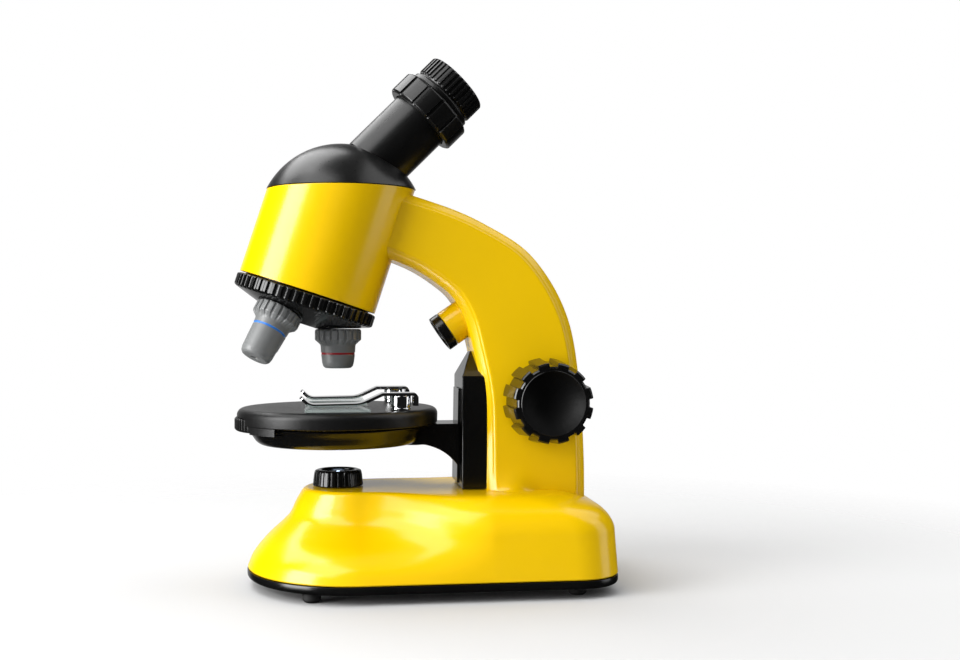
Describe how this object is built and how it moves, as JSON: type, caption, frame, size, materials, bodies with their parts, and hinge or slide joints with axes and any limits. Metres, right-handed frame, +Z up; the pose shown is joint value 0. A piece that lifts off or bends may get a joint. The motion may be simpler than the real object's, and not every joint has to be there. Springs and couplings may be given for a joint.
{
  "type": "toy microscope",
  "caption": "Upright toy microscope with a curved arm, a lifting round stage with clips, a turning objective turret, an inclined zoom eyepiece and two lamps.",
  "frame": {"origin": "middle of the bounding box, at the level of the table under the feet", "axes": "+Z up; -X towards the toe of the base under the stage, +X towards the arm and the heel; +Y to the right hand of someone who looks into the eyepiece"},
  "size_m": [0.1546, 0.096, 0.2192],
  "materials": {
    "yellow_shell": "glossy yellow moulded ABS",
    "black_gloss": "semi-gloss black moulded ABS",
    "black_grained": "finely grained matte black plastic",
    "foot_rubber": "soft black rubber",
    "objective_grey": "satin grey plastic with a colour ring",
    "clip_chrome": "bright chromed spring steel",
    "steel": "zinc plated steel",
    "white_nylon": "natural white nylon",
    "clear_lens": "clear polished lens",
    "mirror_face": "front silvered mirror",
    "led_clear": "clear cast LED body",
    "board_green": "green soldered circuit board",
    "cell_wrap": "printed foil wrap without text",
    "filter_red": "red tinted film",
    "filter_green": "green tinted film",
    "filter_blue": "blue tinted film",
    "filter_yellow": "yellow tinted film"
  },
  "bodies": {
    "stand": {"base_shell": "yellow_shell", "base_plate": "black_gloss", "foot_front_left": "foot_rubber", "foot_front_right": "foot_rubber", "foot_rear_left": "foot_rubber", "foot_rear_right": "foot_rubber", "battery_door": "black_gloss", "battery_door_screw": "steel", "battery_left": "cell_wrap", "battery_right": "cell_wrap", "battery_spring": "steel", "circuit_board": "board_green", "switch_body": "black_gloss", "lamp_housing": "black_gloss", "lamp_lens": "clear_lens", "lamp_led": "led_clear", "arm_left_half": "yellow_shell", "arm_right_half": "yellow_shell", "arm_screw_upper": "steel", "arm_screw_lower": "steel", "column_cover": "black_gloss", "side_lamp_bezel": "black_gloss", "side_lamp_lens": "clear_lens", "side_lamp_led": "led_clear", "head_shell": "yellow_shell", "dome": "black_gloss", "mirror": "mirror_face", "mirror_holder": "black_gloss", "turret_bolt": "steel", "eyepiece_tube": "black_gloss"},
    "stage": {"stage_carriage": "black_gloss", "focus_rack": "white_nylon", "stage_plate": "black_grained", "stage_bowl": "black_gloss", "clip_post_left": "clip_chrome", "clip_post_right": "clip_chrome", "glass_slide": "clear_lens"},
    "filter_disc": {"filter_wheel": "black_grained", "filter_red": "filter_red", "filter_green": "filter_green", "filter_blue": "filter_blue", "filter_yellow": "filter_yellow"},
    "clip_left": {"stage_clip_left": "clip_chrome"},
    "clip_right": {"stage_clip_right": "clip_chrome"},
    "focus": {"focus_shaft": "steel", "focus_pinion": "white_nylon", "focus_knob_left": "black_gloss", "focus_knob_right": "black_gloss"},
    "nosepiece": {"turret": "black_gloss", "objective_red": "objective_grey", "objective_blue": "objective_grey", "objective_yellow": "objective_grey", "objective_lens_red": "clear_lens", "objective_lens_blue": "clear_lens", "objective_lens_yellow": "clear_lens"},
    "eyepiece": {"eyepiece_cap": "black_gloss", "eye_lens": "clear_lens", "field_lens": "clear_lens"},
    "zoom": {"zoom_collar": "black_gloss"},
    "switch": {"switch_slider": "black_gloss"}
  },
  "joints": [
    {"name": "stage_lift", "type": "slide", "parent": "stand", "child": "stage", "axis": [0, 0, 1], "range_m": [-0.001, 0.0084]},
    {"name": "focus_turn", "type": "hinge", "parent": "stand", "child": "focus", "pos_m": [0.04942, 0, 0.0761], "axis": [0, 1, 0], "range_deg": [-10, 81]},
    {"name": "nosepiece_turn", "type": "hinge", "parent": "stand", "child": "nosepiece", "pos_m": [-0.03468, 0, 0.1593], "axis": [0.309, 0, 0.9511], "continuous": true},
    {"name": "filter_turn", "type": "hinge", "parent": "stage", "child": "filter_disc", "pos_m": [-0.04668, 0, 0.066], "axis": [0, 0, 1], "continuous": true},
    {"name": "clip_left_swing", "type": "hinge", "parent": "stage", "child": "clip_left", "pos_m": [-0.01008, -0.0235, 0.0796], "axis": [0, 0, 1], "range_deg": [-25, 60]},
    {"name": "clip_right_swing", "type": "hinge", "parent": "stage", "child": "clip_right", "pos_m": [-0.01008, 0.0235, 0.0796], "axis": [0, 0, 1], "range_deg": [-60, 25]},
    {"name": "eyepiece_slide", "type": "slide", "parent": "stand", "child": "eyepiece", "axis": [0.7071, 0, 0.7071], "range_m": [0, 0.004]},
    {"name": "zoom_turn", "type": "hinge", "parent": "stand", "child": "zoom", "pos_m": [-0.03468, 0, 0.1593], "axis": [0.7071, 0, 0.7071], "range_deg": [0, 120]},
    {"name": "switch_slide", "type": "slide", "parent": "stand", "child": "switch", "axis": [0, 1, 0], "range_m": [-0.0022, 0.0022]}
  ],
  "couplings": [
    {"joint": "focus_turn", "follows": "stage_lift", "rad_per_m": 166.67},
    {"joint": "zoom_turn", "follows": "eyepiece_slide", "rad_per_m": 523}
  ]
}
